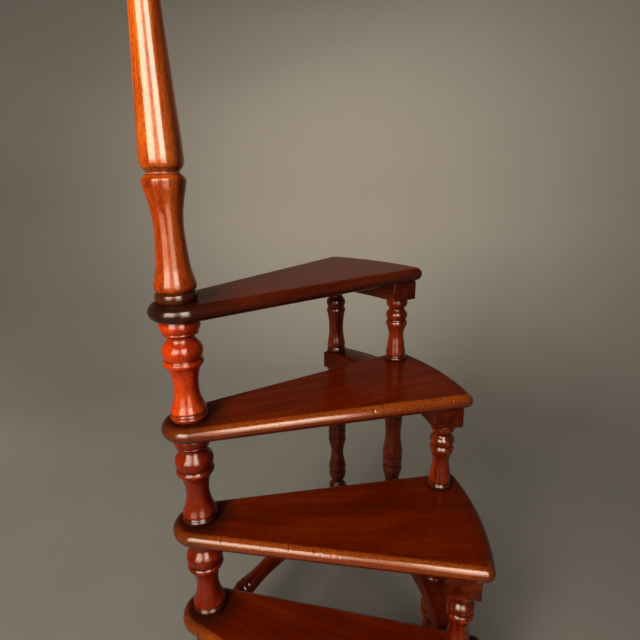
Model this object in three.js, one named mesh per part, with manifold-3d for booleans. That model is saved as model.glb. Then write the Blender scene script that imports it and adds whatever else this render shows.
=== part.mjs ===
// Spiral library steps: four wedge treads winding round a turned newel that ends in a tall hand pole.
// Millimetres, +Z up. The newel's axis is the Z axis, the floor is Z = 0, and the lowest tread's
// front edge runs along +X and faces -Y. Steps and columns are counted from the lowest one.
import * as THREE from 'three';
import { mergeVertices } from 'three/addons/utils/BufferGeometryUtils.js';
import Module from 'manifold-3d';

const wasm = await Module();
wasm.setup();

// The flight
const stepCount = 4;
const rise = 200;
const turnPerStepDeg = 22.6;
const contactGap = 0.3;
const cutOverrun = 2;

// Treads: wedges with a rounded nose round the newel and full bullnose edges
const treadThickness = 26.2;
const treadEndOverhang = 18;
const treadNoseRadius = 51.5;
const treadForwardOffset = 5;
const treadNoseSetback = 3.6;
const treadCornerRadius = 16;
const treadWedgeDeg = 19;
const treadMidDeg = 9.5;
const bullnoseSteps = 4;
const noseSteps = 12;
const outerSteps = 8;
const cornerSteps = 4;

// Curved bearers and rails under the treads' outer ends, centred on the ring of columns
const columnRingRadius = 457;
const firstColumnDeg = -2.6;
const railWidth = 56;
const railDepth = 38;
const railFrontOverhang = 25;
const railRearOverhang = 20;
const railStepDeg = 3.8;
const treadReach = columnRingRadius + railWidth / 2 + treadEndOverhang;

// Newel segments and handle base
const newelRadius = 33;
const newelHeadHeight = 79;
const newelFootHeight = 9;
const newelSpigotRadius = 12.5;
const newelSocketDepth = 18;
const newelFacets = 16;
const handleBaseHeight = 190;
const handleBaseRadius = 33.4;

// Pole, finial and the dowel screw that joins the pole to its base
const poleLength = 400;
const poleRadius = 32;
const finialLength = 62;
const finialRadius = 24;
const finialSpigotRadius = 7;
const finialSpigotLength = 20;
const poleScrewRadius = 5;
const poleScrewLength = 60;
const poleScrewEndRoom = 1.5;

// Balusters, posts and legs
const balusterRadius = 22.5;
const balusterHeadHeight = 58;
const balusterFootHeight = 11;
const postMiddleHeight = 48;
const postLowerVaseHeight = 80;
const postTailHeight = 66;
const balusterTenonRadius = 8;
const balusterTenonLength = 16;
const balusterFacets = 12;

// Stretcher from the newel to the rear column
const stretcherRadius = 21;
const stretcherTenonRadius = 8;
const stretcherNewelTenonLength = 22;
const stretcherRailTenonLength = 15;

// Wood screws that hold each tread down on its bearer
const screwShankRadius = 2.2;
const screwHeadRadius = 4.6;
const screwHeadHeight = 3;
const screwSink = 7;
const screwBite = 14;
const screwTipHeight = 4;
const screwFacets = 8;
const screwInsetDeg = 5.6;

// Turned shapes, read from the top down. Each row is the depth as a share of the stretch's height,
// then the radius as a share of the piece's largest radius.
const newelHeadShares = [
  [0, 1], [0.1, 0.98], [0.22, 0.86], [0.31, 0.79], [0.33, 0.68], [0.39, 0.66], [0.5, 0.87],
  [0.6, 0.96], [0.69, 0.97], [0.8, 0.93], [0.88, 0.86], [0.94, 0.96], [1, 0.89],
];
const newelVaseShares = [
  [0.15, 0.75], [0.32, 0.65], [0.52, 0.61], [0.72, 0.68], [0.88, 0.82], [0.97, 0.91], [1, 0.87],
];
const newelFootShares = [[0.35, 0.92], [0.8, 0.92], [1, 0.88]];
const handleBaseShares = [
  [0, 0.77], [0.015, 0.78], [0.02, 0.86], [0.045, 0.94], [0.065, 0.95], [0.1, 0.91], [0.18, 0.77],
  [0.28, 0.69], [0.42, 0.65], [0.55, 0.68], [0.7, 0.77], [0.83, 0.9], [0.9, 1], [0.93, 0.96],
  [0.945, 0.94], [0.96, 0.99], [0.985, 0.99], [1, 0.95],
];
const poleShares = [
  [0, 0.42], [0.01, 0.58], [0.03, 0.6], [0.045, 0.45], [0.08, 0.42], [0.14, 0.45], [0.3, 0.54],
  [0.46, 0.65], [0.65, 0.81], [0.85, 0.93], [0.95, 1], [0.975, 0.95], [0.99, 0.84], [1, 0.8],
];
const finialShares = [
  [0.02, 0.2], [0.06, 0.3], [0.14, 0.36], [0.2, 0.6], [0.32, 0.88], [0.46, 1], [0.6, 0.93],
  [0.74, 0.66], [0.82, 0.46], [0.87, 0.44], [0.91, 0.66], [0.97, 0.66], [1, 0.58],
];
const balusterHeadShares = [
  [0, 0.98], [0.18, 0.98], [0.26, 0.86], [0.36, 0.7], [0.46, 0.9], [0.57, 1], [0.69, 0.94],
  [0.78, 0.85], [0.92, 0.98], [1, 0.91],
];
const balusterVaseShares = [[0.17, 0.77], [0.38, 0.71], [0.62, 0.76], [0.93, 0.91], [1, 0.87]];
const balusterFootShares = [[0.3, 0.97], [0.8, 0.97], [1, 0.92]];
const postMiddleShares = [[0.2, 0.87], [0.42, 0.95], [0.68, 0.87], [0.92, 0.95], [1, 0.9]];
const postTailShares = [[0.13, 0.84], [0.28, 0.93], [0.5, 0.6], [0.78, 0.96], [1, 0.98]];
const stretcherShares = [
  [0, 0.72], [0.1, 0.8], [0.14, 0.95], [0.16, 0.95], [0.17, 0.86], [0.19, 0.91], [0.29, 0.74],
  [0.42, 0.88], [0.44, 0.95], [0.46, 0.84], [0.5, 1], [0.54, 0.84], [0.56, 0.95], [0.58, 0.88],
  [0.71, 0.74], [0.81, 0.91], [0.83, 0.86], [0.84, 0.95], [0.86, 0.95], [0.9, 0.8], [1, 0.72],
];

const toRadians = THREE.MathUtils.degToRad;
const model = new THREE.Group();

function woodMaterial(colour, roughness) {
  return new THREE.MeshStandardMaterial({ color: colour, roughness, metalness: 0 });
}

const turnedWood = () => woodMaterial(0x8c3312, 0.28);
const treadWood = () => woodMaterial(0x5a1f10, 0.3);
const railWood = () => woodMaterial(0x4a1a0f, 0.42);
const steel = () => new THREE.MeshStandardMaterial({ color: 0x9a9a98, roughness: 0.35, metalness: 1 });

// Heights and angles
const treadTop = (step) => step * rise;
const treadUnderside = (step) => treadTop(step) - treadThickness;
const railTop = (step) => treadUnderside(step) - contactGap;
const railBottom = (step) => railTop(step) - railDepth;
const stepTurn = (step) => toRadians((step - 1) * turnPerStepDeg);
const columnAngle = (column) => toRadians(firstColumnDeg) + stepTurn(column);
const railFrontAngle = (column) => columnAngle(column) - railFrontOverhang / columnRingRadius;
const railRearAngle = (column) => columnAngle(column) + railRearOverhang / columnRingRadius;

function columnPlace(column, height) {
  const angle = columnAngle(column);
  return new THREE.Vector3(columnRingRadius * Math.cos(angle), columnRingRadius * Math.sin(angle), height);
}

// A solid's mesh data with shared vertices and no zero-area faces
function weld(geometry) {
  const bare = geometry.clone();
  bare.deleteAttribute('normal');
  bare.deleteAttribute('uv');
  const merged = mergeVertices(bare, contactGap / 1000);
  const faces = [];
  for (let i = 0; i < merged.index.count; i += 3) {
    const [a, b, c] = [merged.index.getX(i), merged.index.getX(i + 1), merged.index.getX(i + 2)];
    if (a !== b && b !== c && c !== a) faces.push(a, b, c);
  }
  merged.setIndex(faces);
  return merged;
}

function toSolid(geometry) {
  const welded = weld(geometry);
  return new wasm.Manifold(new wasm.Mesh({
    numProp: 3,
    vertProperties: new Float32Array(welded.attributes.position.array),
    triVerts: new Uint32Array(welded.index.array),
  }));
}

function toGeometry(solid) {
  const mesh = solid.getMesh();
  const geometry = new THREE.BufferGeometry();
  geometry.setAttribute('position', new THREE.BufferAttribute(new Float32Array(mesh.vertProperties), 3));
  geometry.setIndex(new THREE.BufferAttribute(new Uint32Array(mesh.triVerts), 1));
  return geometry;
}

// Cuts each tool out of a geometry
function cutAway(geometry, tools) {
  let solid = toSolid(geometry);
  for (const tool of tools) {
    solid = solid.subtract(toSolid(tool));
  }
  return toGeometry(solid);
}

// A round solid about +Z from a list of [height, radius] rows that go up
function lathe(rows, facets) {
  const low = rows[0][0];
  const high = rows[rows.length - 1][0];
  const outline = [[low, 0], ...rows, [high, 0]];
  const points = outline.map(([height, radius]) => new THREE.Vector2(radius, height));
  return weld(new THREE.LatheGeometry(points, facets).rotateX(Math.PI / 2));
}

function drill(radius, low, high, facets) {
  return lathe([[low, radius], [high, radius]], facets);
}

// Rows of one stretch of turning, going up, between two heights
function stretchRows(shares, top, height, radius) {
  return shares.map(([depth, size]) => [top - depth * height, size * radius]).reverse();
}

// A stack of turned stretches, given from the top down as [shares, height], under a top height
function stackRows(stretches, top, radius) {
  const rows = [];
  let level = top;
  for (const [shares, height] of stretches) {
    rows.unshift(...stretchRows(shares, level, height, radius));
    level -= height;
  }
  return rows;
}

function addMesh(name, geometry, material, place = new THREE.Vector3(), turn = 0) {
  const mesh = new THREE.Mesh(geometry, material);
  mesh.name = name;
  mesh.position.copy(place);
  mesh.rotation.z = turn;
  model.add(mesh);
  return mesh;
}

// The tread's plan outline in its own frame, +X along its middle, drawn in from the edge by an inset.
// Arcs run round the nose, the two outer corners and the outer edge; straight edges join them.
function treadOutline(inset) {
  const half = toRadians(treadWedgeDeg / 2);
  const middle = new THREE.Vector2(treadNoseSetback, -treadForwardOffset);
  const points = [];
  const arc = (centre, radius, from, to, steps) => {
    for (let i = 0; i <= steps; i += 1) {
      const angle = from + (to - from) * i / steps;
      points.push(new THREE.Vector2(
        centre.x + radius * Math.cos(angle),
        centre.y + radius * Math.sin(angle),
      ));
    }
  };
  const cornerCentre = (side) => {
    const along = new THREE.Vector2(Math.cos(half), side * Math.sin(half));
    const inward = new THREE.Vector2(Math.sin(half), -side * Math.cos(half));
    const start = middle.clone().addScaledVector(inward, treadCornerRadius - treadNoseRadius);
    const reach = treadReach - treadCornerRadius;
    const onto = start.dot(along);
    const length = Math.sqrt(onto * onto - start.lengthSq() + reach * reach) - onto;
    return start.addScaledVector(along, length);
  };
  const front = cornerCentre(-1);
  const rear = cornerCentre(1);
  const frontAngle = Math.atan2(front.y, front.x);
  const rearAngle = Math.atan2(rear.y, rear.x);
  const quarter = Math.PI / 2;
  const cornerRadius = treadCornerRadius - inset;
  arc(middle, treadNoseRadius - inset, quarter + half, 3 * quarter - half, noseSteps);
  arc(front, cornerRadius, -quarter - half, frontAngle, cornerSteps);
  arc(new THREE.Vector2(), treadReach - inset, frontAngle, rearAngle, outerSteps);
  arc(rear, cornerRadius, rearAngle, quarter + half, cornerSteps);
  return points;
}

// Joins equal rings of points into a closed solid with flat ends
function loft(rings) {
  const count = rings[0].length;
  const position = rings.flat().flatMap((point) => [point.x, point.y, point.z]);
  const faces = [];
  for (let ring = 0; ring + 1 < rings.length; ring += 1) {
    for (let i = 0; i < count; i += 1) {
      const next = (i + 1) % count;
      const [a, b] = [ring * count + i, ring * count + next];
      faces.push(a, b, b + count, a, b + count, a + count);
    }
  }
  const last = (rings.length - 1) * count;
  for (const [a, b, c] of THREE.ShapeUtils.triangulateShape(rings[0], [])) {
    faces.push(c, b, a, last + a, last + b, last + c);
  }
  const geometry = new THREE.BufferGeometry();
  geometry.setAttribute('position', new THREE.Float32BufferAttribute(position, 3));
  geometry.setIndex(faces);
  return weld(geometry);
}

function treadBlank() {
  const edge = treadThickness / 2;
  const rings = [];
  for (let i = -bullnoseSteps; i <= bullnoseSteps; i += 1) {
    const angle = Math.PI / 2 * i / bullnoseSteps;
    const inset = edge * (1 - Math.cos(angle));
    const height = edge * (Math.sin(angle) - 1);
    rings.push(treadOutline(inset).map((point) => new THREE.Vector3(point.x, point.y, height)));
  }
  return loft(rings);
}

// A curved bar between two angles, square in section
function curvedRail(from, to, low, high) {
  const steps = Math.max(2, Math.round((to - from) / toRadians(railStepDeg)));
  const inner = columnRingRadius - railWidth / 2;
  const outer = columnRingRadius + railWidth / 2;
  const edge = (radius, i) => {
    const angle = from + (to - from) * i / steps;
    return [radius * Math.cos(angle), radius * Math.sin(angle)];
  };
  const plan = [];
  for (let i = 0; i <= steps; i += 1) plan.push(edge(outer, i));
  for (let i = steps; i >= 0; i -= 1) plan.push(edge(inner, i));
  return loft([low, high].map((height) => plan.map(([x, y]) => new THREE.Vector3(x, y, height))));
}

// How far out a flat end of a given half width can go before it meets a rail's hollow inner face
function railInnerReach(halfWidth) {
  const inner = columnRingRadius - railWidth / 2;
  const facet = Math.cos(toRadians(railStepDeg) / 2);
  return Math.sqrt(inner * inner - halfWidth * halfWidth) * facet;
}

function atColumn(geometry, column) {
  const place = columnPlace(column, 0);
  return geometry.rotateZ(columnAngle(column)).translate(place.x, place.y, place.z);
}

// Sockets for the tenons of the pieces that stand on, or hang under, a rail or tread at a column
const socketRadius = balusterTenonRadius + contactGap;
const socketDepth = balusterTenonLength + contactGap;

function socketBelow(column, surface) {
  return atColumn(drill(socketRadius, surface - socketDepth, surface + cutOverrun, balusterFacets), column);
}

function socketAbove(column, surface) {
  return atColumn(drill(socketRadius, surface - cutOverrun, surface + socketDepth, balusterFacets), column);
}

// Two screws stand in each bearer, between its columns
function screwAngles(step) {
  const middle = (columnAngle(step) + columnAngle(step + 1)) / 2;
  return [-1, 1].map((side) => middle + side * toRadians(screwInsetDeg));
}

function atScrew(geometry, angle) {
  const x = columnRingRadius * Math.cos(angle);
  const y = columnRingRadius * Math.sin(angle);
  return geometry.rotateZ(angle).translate(x, y, 0);
}

const screwHeadTop = (step) => railBottom(step) + screwSink;
const screwTip = (step) => treadUnderside(step) + screwBite;

function screwHole(step, angle) {
  const shank = screwShankRadius + contactGap;
  const head = screwHeadRadius + contactGap;
  const rows = [
    [railBottom(step) - cutOverrun, head],
    [screwHeadTop(step) - screwHeadHeight, head],
    [screwHeadTop(step) + contactGap, shank],
    [screwTip(step) + contactGap, shank],
  ];
  return atScrew(lathe(rows, screwFacets), angle);
}

function addTreadScrews(step) {
  screwAngles(step).forEach((angle, index) => {
    const rows = [
      [screwHeadTop(step) - screwHeadHeight, screwHeadRadius],
      [screwHeadTop(step), screwShankRadius],
      [screwTip(step) - screwTipHeight, screwShankRadius],
      [screwTip(step), screwShankRadius / 4],
    ];
    addMesh(`tread_screw_${step}_${index + 1}`, atScrew(lathe(rows, screwFacets), angle), steel());
  });
}

// Treads
function addTread(step) {
  const blank = treadBlank()
    .rotateZ(toRadians(treadMidDeg) + stepTurn(step))
    .translate(0, 0, treadTop(step));
  const below = treadUnderside(step) - cutOverrun;
  const above = treadTop(step) + cutOverrun;
  const tools = [drill(newelSpigotRadius + contactGap, below, above, newelFacets)];
  if (step < stepCount) tools.push(socketBelow(step + 1, treadTop(step)));
  for (const angle of screwAngles(step)) tools.push(screwHole(step, angle));
  addMesh(`tread_${step}`, cutAway(blank, tools), treadWood());
}

// Bearers and rails. The lowest one runs on round to the rear column as the base rail, and the one
// below the top bearer runs on one column past its tread to carry the rear baluster.
const rearColumn = stepCount + 1;
const upperRailStep = stepCount - 1;
const legColumns = [1, Math.round(1 + stepCount / 2), rearColumn];

function railName(step) {
  if (step === 1) return 'base_rail';
  return step === upperRailStep ? 'upper_rail' : `bearer_${step}`;
}

function addRail(step) {
  const top = railTop(step);
  const bottom = railBottom(step);
  const last = step === 1 || step === upperRailStep ? rearColumn : step + 1;
  const blank = curvedRail(railFrontAngle(step), railRearAngle(last), bottom, top);
  const tools = screwAngles(step).map((angle) => screwHole(step, angle));
  for (const column of hangingColumns(step)) tools.push(socketAbove(column, bottom));
  for (const column of standingColumns(step)) tools.push(socketBelow(column, top));
  if (step === 1) tools.push(stretcherSocket());
  addMesh(railName(step), cutAway(blank, tools), railWood());
}

// Columns whose turned piece has its upper tenon in this rail
function hangingColumns(step) {
  if (step === 1) return legColumns;
  if (step === upperRailStep) return [step, step + 1, rearColumn];
  return [step, step + 1];
}

// Columns whose turned piece stands directly on this rail's top
function standingColumns(step) {
  const first = step === 1 ? 3 : rearColumn;
  if (step !== 1 && step !== upperRailStep) return [];
  return Array.from({ length: rearColumn - first + 1 }, (_, index) => first + index);
}

// Turned pieces of the columns
function columnRows(kind, bottom, top) {
  const height = top - bottom;
  const head = [balusterHeadShares, balusterHeadHeight];
  const foot = [balusterFootShares, balusterFootHeight];
  if (kind === 'post') {
    const tail = [postTailShares, postTailHeight];
    const middle = [postMiddleShares, postMiddleHeight];
    const lower = [balusterVaseShares, postLowerVaseHeight];
    const upperHeight = height - head[1] - middle[1] - lower[1] - tail[1];
    return stackRows([head, [balusterVaseShares, upperHeight], middle, lower, tail], top, balusterRadius);
  }
  const vase = [balusterVaseShares, height - head[1] - foot[1]];
  return stackRows([head, vase, foot], top, balusterRadius);
}

function addColumnPiece(name, kind, column, bottom, top, hasLowerTenon = true) {
  const rows = columnRows(kind, bottom, top);
  rows.push([top, balusterTenonRadius], [top + balusterTenonLength, balusterTenonRadius]);
  if (hasLowerTenon) {
    rows.unshift([bottom - balusterTenonLength, balusterTenonRadius], [bottom, balusterTenonRadius]);
  }
  const place = columnPlace(column, 0);
  addMesh(name, lathe(rows, balusterFacets), turnedWood(), place, columnAngle(column));
}

// Front balusters stand on the treads, legs on the floor, posts on the base rail, and the rear
// baluster on the upper rail.
function addColumns() {
  const onBase = railTop(1) + contactGap;
  const under = (step) => railBottom(step) - contactGap;
  for (const column of legColumns) {
    addColumnPiece(`leg_${column}`, 'baluster', column, 0, under(1), false);
  }
  for (let step = 2; step <= stepCount; step += 1) {
    const onTread = treadTop(step - 1) + contactGap;
    addColumnPiece(`front_baluster_${step}`, 'baluster', step, onTread, under(step));
  }
  addColumnPiece('short_post_3', 'baluster', 3, onBase, under(2));
  for (let step = 3; step < stepCount; step += 1) {
    addColumnPiece(`long_post_${step + 1}`, 'post', step + 1, onBase, under(step));
  }
  addColumnPiece(`long_post_${rearColumn}`, 'post', rearColumn, onBase, under(upperRailStep));
  const onUpper = railTop(upperRailStep) + contactGap;
  addColumnPiece('rear_baluster', 'baluster', rearColumn, onUpper, under(stepCount));
}

// Newel: one turned segment under each tread, its spigot passing up through the tread's nose
function newelSocket(bottom) {
  return drill(newelSpigotRadius + contactGap, bottom - cutOverrun, bottom + newelSocketDepth, newelFacets);
}

function addNewelSegment(step) {
  const top = treadUnderside(step) - contactGap;
  const bottom = step === 1 ? 0 : treadTop(step - 1) + contactGap;
  const vaseHeight = top - bottom - newelHeadHeight - newelFootHeight;
  const rows = stackRows([
    [newelHeadShares, newelHeadHeight],
    [newelVaseShares, vaseHeight],
    [newelFootShares, newelFootHeight],
  ], top, newelRadius);
  const spigotTop = treadTop(step) + newelSocketDepth - contactGap;
  rows.push([top, newelSpigotRadius], [spigotTop, newelSpigotRadius]);
  const blank = lathe(rows, newelFacets);
  const tools = step === 1 ? [stretcherSocket()] : [newelSocket(bottom)];
  addMesh(`newel_segment_${step}`, cutAway(blank, tools), turnedWood());
}

// Stretcher, level with the base rail's middle
const stretcherHeight = (railTop(1) + railBottom(1)) / 2;
const stretcherInner = newelRadius + contactGap;
const stretcherOuter = railInnerReach(stretcherRadius) - contactGap;

function alongStretcher(geometry) {
  return geometry
    .rotateY(Math.PI / 2)
    .translate(0, 0, stretcherHeight)
    .rotateZ(columnAngle(rearColumn));
}

function stretcherSocket() {
  const radius = stretcherTenonRadius + contactGap;
  const inner = stretcherInner - stretcherNewelTenonLength - contactGap;
  const outer = stretcherOuter + stretcherRailTenonLength + contactGap;
  return alongStretcher(drill(radius, inner, outer, balusterFacets));
}

function addStretcher() {
  const length = stretcherOuter - stretcherInner;
  const rows = [
    [stretcherInner - stretcherNewelTenonLength, stretcherTenonRadius],
    [stretcherInner, stretcherTenonRadius],
    ...stretchRows(stretcherShares, stretcherOuter, length, stretcherRadius),
    [stretcherOuter, stretcherTenonRadius],
    [stretcherOuter + stretcherRailTenonLength, stretcherTenonRadius],
  ];
  addMesh('stretcher', alongStretcher(lathe(rows, balusterFacets)), turnedWood());
}

// Handle: base, pole, dowel screw and finial
const poleSeat = treadTop(stepCount) + handleBaseHeight;

function screwPocket(low, high) {
  return drill(poleScrewRadius + contactGap, low, high, balusterFacets);
}

function addHandle() {
  const bottom = treadTop(stepCount) + contactGap;
  const baseRows = stretchRows(handleBaseShares, poleSeat, poleSeat - bottom, handleBaseRadius);
  const halfScrew = poleScrewLength / 2 + poleScrewEndRoom;
  const basePocket = screwPocket(poleSeat - halfScrew, poleSeat + cutOverrun);
  const base = cutAway(lathe(baseRows, newelFacets), [newelSocket(bottom), basePocket]);
  addMesh('handle_base', base, turnedWood());

  const poleBottom = poleSeat + contactGap;
  const poleTop = poleSeat + poleLength;
  const poleRows = stretchRows(poleShares, poleTop, poleTop - poleBottom, poleRadius);
  const spigotPocket = drill(
    finialSpigotRadius + contactGap,
    poleTop - finialSpigotLength - contactGap,
    poleTop + cutOverrun,
    balusterFacets,
  );
  const polePocket = screwPocket(poleBottom - cutOverrun, poleBottom + halfScrew);
  const pole = cutAway(lathe(poleRows, newelFacets), [polePocket, spigotPocket]);
  addMesh('pole', pole, turnedWood());

  const screwRows = [
    [poleSeat - poleScrewLength / 2, poleScrewRadius / 2],
    [poleSeat - poleScrewLength / 2 + poleScrewRadius, poleScrewRadius],
    [poleSeat + poleScrewLength / 2 - poleScrewRadius, poleScrewRadius],
    [poleSeat + poleScrewLength / 2, poleScrewRadius / 2],
  ];
  addMesh('pole_dowel_screw', lathe(screwRows, balusterFacets), steel());

  const finialBottom = poleTop + contactGap;
  const finialTop = finialBottom + finialLength;
  const finialRows = [
    [poleTop - finialSpigotLength, finialSpigotRadius],
    [finialBottom, finialSpigotRadius],
    ...stretchRows(finialShares, finialTop, finialLength, finialRadius),
  ];
  addMesh('finial', lathe(finialRows, newelFacets), turnedWood());
}

for (let step = 1; step <= stepCount; step += 1) {
  addNewelSegment(step);
  addTread(step);
  addRail(step);
  addTreadScrews(step);
}
addColumns();
addStretcher();
addHandle();

export default model;
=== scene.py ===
# %% [markdown]
# # Spiral library steps in polished mahogany
#
# Four wedge-shaped treads wind round a turned newel, the upright post at their narrow ends. Their wide
# ends rest on curved bearers, and the bearers stand on turned balusters and posts. Above the top tread
# the newel goes on as a tall pole to hold. This notebook dresses a finished mechanical model of the
# steps: it keeps every piece where that model says, and gives it a smooth surface and a real finish.

# %% Load the fixed frame
import math

import bmesh
import bpy
from mathutils import Matrix, Vector


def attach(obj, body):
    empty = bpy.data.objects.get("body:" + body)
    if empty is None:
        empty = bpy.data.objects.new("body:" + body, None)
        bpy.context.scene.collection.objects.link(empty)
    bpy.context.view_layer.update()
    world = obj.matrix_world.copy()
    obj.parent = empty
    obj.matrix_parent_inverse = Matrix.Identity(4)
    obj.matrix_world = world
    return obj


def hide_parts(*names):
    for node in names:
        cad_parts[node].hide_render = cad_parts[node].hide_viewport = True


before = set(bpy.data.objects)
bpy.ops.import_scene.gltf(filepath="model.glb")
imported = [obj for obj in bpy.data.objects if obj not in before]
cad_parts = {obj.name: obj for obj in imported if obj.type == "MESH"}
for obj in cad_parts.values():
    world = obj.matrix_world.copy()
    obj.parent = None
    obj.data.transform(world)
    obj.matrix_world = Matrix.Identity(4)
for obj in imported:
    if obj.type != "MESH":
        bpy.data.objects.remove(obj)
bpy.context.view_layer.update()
print("nodes:", len(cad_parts))

# %% [markdown]
# ## The sizes that the whole flight shares
#
# Everything on the steps follows from a few sizes: the height from one tread to the next, the angle
# that each tread turns past the one below, and the ring that the columns stand on. They are written
# once here, in metres and radians, and every piece below is worked out from them.

# %% Shared sizes
MM = 0.001
RISE = 0.200
TURN = math.radians(22.6)
STEPS = 4
GAP = 0.0003
OVERRUN = 0.002

TREAD_THICKNESS = 0.0262
TREAD_REACH = 0.503
TREAD_NOSE_RADIUS = 0.0515
TREAD_NOSE_PLACE = (0.0036, -0.005)
TREAD_CORNER_RADIUS = 0.016
TREAD_WEDGE = math.radians(19)
TREAD_MIDDLE = TREAD_WEDGE / 2

RING = 0.457
FIRST_COLUMN = math.radians(-2.6)
RAIL_WIDTH = 0.056
RAIL_DEPTH = 0.038
RAIL_FRONT = 0.025
RAIL_REAR = 0.020

SPIGOT = 0.0125
SPIGOT_SOCKET = 0.018
TENON = 0.008
TENON_LENGTH = 0.016


def tread_top(step):
    return step * RISE


def rail_top(step):
    return tread_top(step) - TREAD_THICKNESS - GAP


def rail_bottom(step):
    return rail_top(step) - RAIL_DEPTH


def column_angle(column):
    return FIRST_COLUMN + (column - 1) * TURN


for step in range(1, STEPS + 1):
    print(f"tread {step}: top {tread_top(step):.3f} m, column at {math.degrees(column_angle(step)):.1f} deg")

# %% [markdown]
# ## The camera
#
# The photograph was taken standing close to the steps, a little above the top tread and looking
# slightly down, with a wide lens. A camera is a matrix: it is turned about its own line of sight, then
# tipped down, then swung round, and last moved to its place.


# %% Camera
CAMERA_PLACE = Vector((0.56413, -0.46935, 0.97282))
CAMERA_HEADING = math.radians(32.633)
CAMERA_TIP = math.radians(90 - 16.598)
CAMERA_ROLL = -0.0196
LENS = 26.0
SENSOR_WIDTH = 36.0
NEAREST_SEEN = 0.01

camera_data = bpy.data.cameras.new("view")
camera_data.lens = LENS
camera_data.sensor_width = SENSOR_WIDTH
camera_data.clip_start = NEAREST_SEEN
camera = bpy.data.objects.new("view", camera_data)
camera.matrix_world = (
    Matrix.Translation(CAMERA_PLACE)
    @ Matrix.Rotation(CAMERA_HEADING, 4, "Z")
    @ Matrix.Rotation(CAMERA_TIP, 4, "X")
    @ Matrix.Rotation(CAMERA_ROLL, 4, "Z")
)
bpy.context.scene.collection.objects.link(camera)
bpy.context.scene.camera = camera
print("camera at", tuple(round(v, 3) for v in CAMERA_PLACE))

# %% [markdown]
# ## Small helpers for node trees
#
# Shader trees and Geometry Nodes trees are both made of nodes and wires. One helper gives a node its
# inputs: a plain value is typed in, and the output of another node is wired in. The others add the
# nodes that come back again and again.


# %% Node helpers
def fill(tree, node, *values, **named_values):
    given = list(zip(node.inputs, values))
    given += [(node.inputs[name.replace("_", " ")], value) for name, value in named_values.items()]
    for socket, value in given:
        if isinstance(value, bpy.types.NodeSocket):
            tree.links.new(value, socket)
        else:
            socket.default_value = value
    return node


def add_node(tree, kind, settings=None, *values, **named_values):
    node = tree.nodes.new(kind)
    for name, value in (settings or {}).items():
        setattr(node, name, value)
    return fill(tree, node, *values, **named_values)


def calculate(tree, operation, *values):
    return add_node(tree, "ShaderNodeMath", {"operation": operation}, *values).outputs[0]


def join_vector(tree, x, y, z):
    return add_node(tree, "ShaderNodeCombineXYZ", None, x, y, z).outputs[0]


def split_vector(tree, vector):
    return add_node(tree, "ShaderNodeSeparateXYZ", None, vector).outputs


print("node helpers ready")

# %% [markdown]
# ## Helpers for the finishes
#
# Wood, steel and paint are mixed in the same way. A noise pattern picks a colour from a ramp, a range
# of values becomes the strength of a mark, and a mark is mixed over the colour below it. A bump makes
# marks catch the light, and it only bends the shading, so the shape itself is always real geometry.


# %% Finish helpers
def new_material(name):
    material = bpy.data.materials.new(name)
    material.use_nodes = True
    return material, material.node_tree, material.node_tree.nodes["Principled BSDF"]


def attribute(tree, name, output="Fac"):
    return add_node(tree, "ShaderNodeAttribute", {"attribute_name": name}).outputs[output]


def between(tree, value, low, high, out_low, out_high, smooth=False):
    settings = {"interpolation_type": "SMOOTHERSTEP"} if smooth else None
    return add_node(
        tree, "ShaderNodeMapRange", settings, Value=value, From_Min=low, From_Max=high, To_Min=out_low,
        To_Max=out_high,
    ).outputs["Result"]


def opaque(colour, share=1.0):
    return (*(share * value for value in colour), 1)


def mix(tree, factor, first, second):
    return add_node(
        tree, "ShaderNodeMix", {"data_type": "RGBA"}, Factor=factor, A=first, B=second
    ).outputs["Result"]


def colour_ramp(tree, factor, *stops):
    node = add_node(tree, "ShaderNodeValToRGB", Fac=factor)
    elements = node.color_ramp.elements
    for element, (place, colour) in zip(elements, (stops[0], stops[-1])):
        element.position = place
        element.color = opaque(colour)
    for place, colour in stops[1:-1]:
        elements.new(place).color = opaque(colour)
    return node.outputs["Color"]


def bump(tree, height, strength, distance):
    return add_node(
        tree, "ShaderNodeBump", Height=height, Strength=strength, Distance=distance
    ).outputs["Normal"]


print("finish helpers ready")

# %% [markdown]
# ## Mahogany
#
# Polished mahogany is three things on top of each other: a figure of broad, soft bands that follow the
# grain, thousands of short dark pores, and a clear hard polish. The wood is described in board
# coordinates, with the third one along the grain, and every piece carries its own in an attribute
# called `wood`. So the grain runs up a baluster, along a tread and round a bent rail, as it is cut.
# The attribute `tone` is below zero where old polish has gathered dark in a groove, and where painted
# shade darkens a collar, a neck or the underside of an edge. It is above zero where hands and shoes
# have worn an edge pale. `own_place` is the place on a single piece, for dirt and painted shade in
# rings round a post and for a darker outer rim, and `copy` counts the pieces that are made from one
# outline. The lower copies of the newel are painted darker with it, as shade.
#
# The polish is the shader's coat. The plain gloss below it is turned off, because a second reflection
# under the first one makes wood look milky. Each wood below is a dark, a middle and a light colour,
# and what differs from the usual finish.

# %% Mahogany finish
# Dark colour of old polish and dirt, also used for painted shade.
DIRT_AND_SHADE_COLOUR = (0.012, 0.0045, 0.0018)
FIBRE = (900, 28, 4.0, 0.7)
FLECK = (620, 165, 2.0, 0.6)
CLOUD = (26, 9, 2.0, 0.5)
FIGURE_SLOWNESS = 0.10
FIGURE_SHARE, FIBRE_SHARE, FLECK_SHARE, CLOUD_SHARE = 0.42, 0.18, 0.26, 0.14
PORE_SHADE = 0.4
LOW_SHADE = 0.3
THICKEST_DIRT_AND_SHADE = 0.94
TOP_FACE = (-0.0016, -0.0002)


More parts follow.
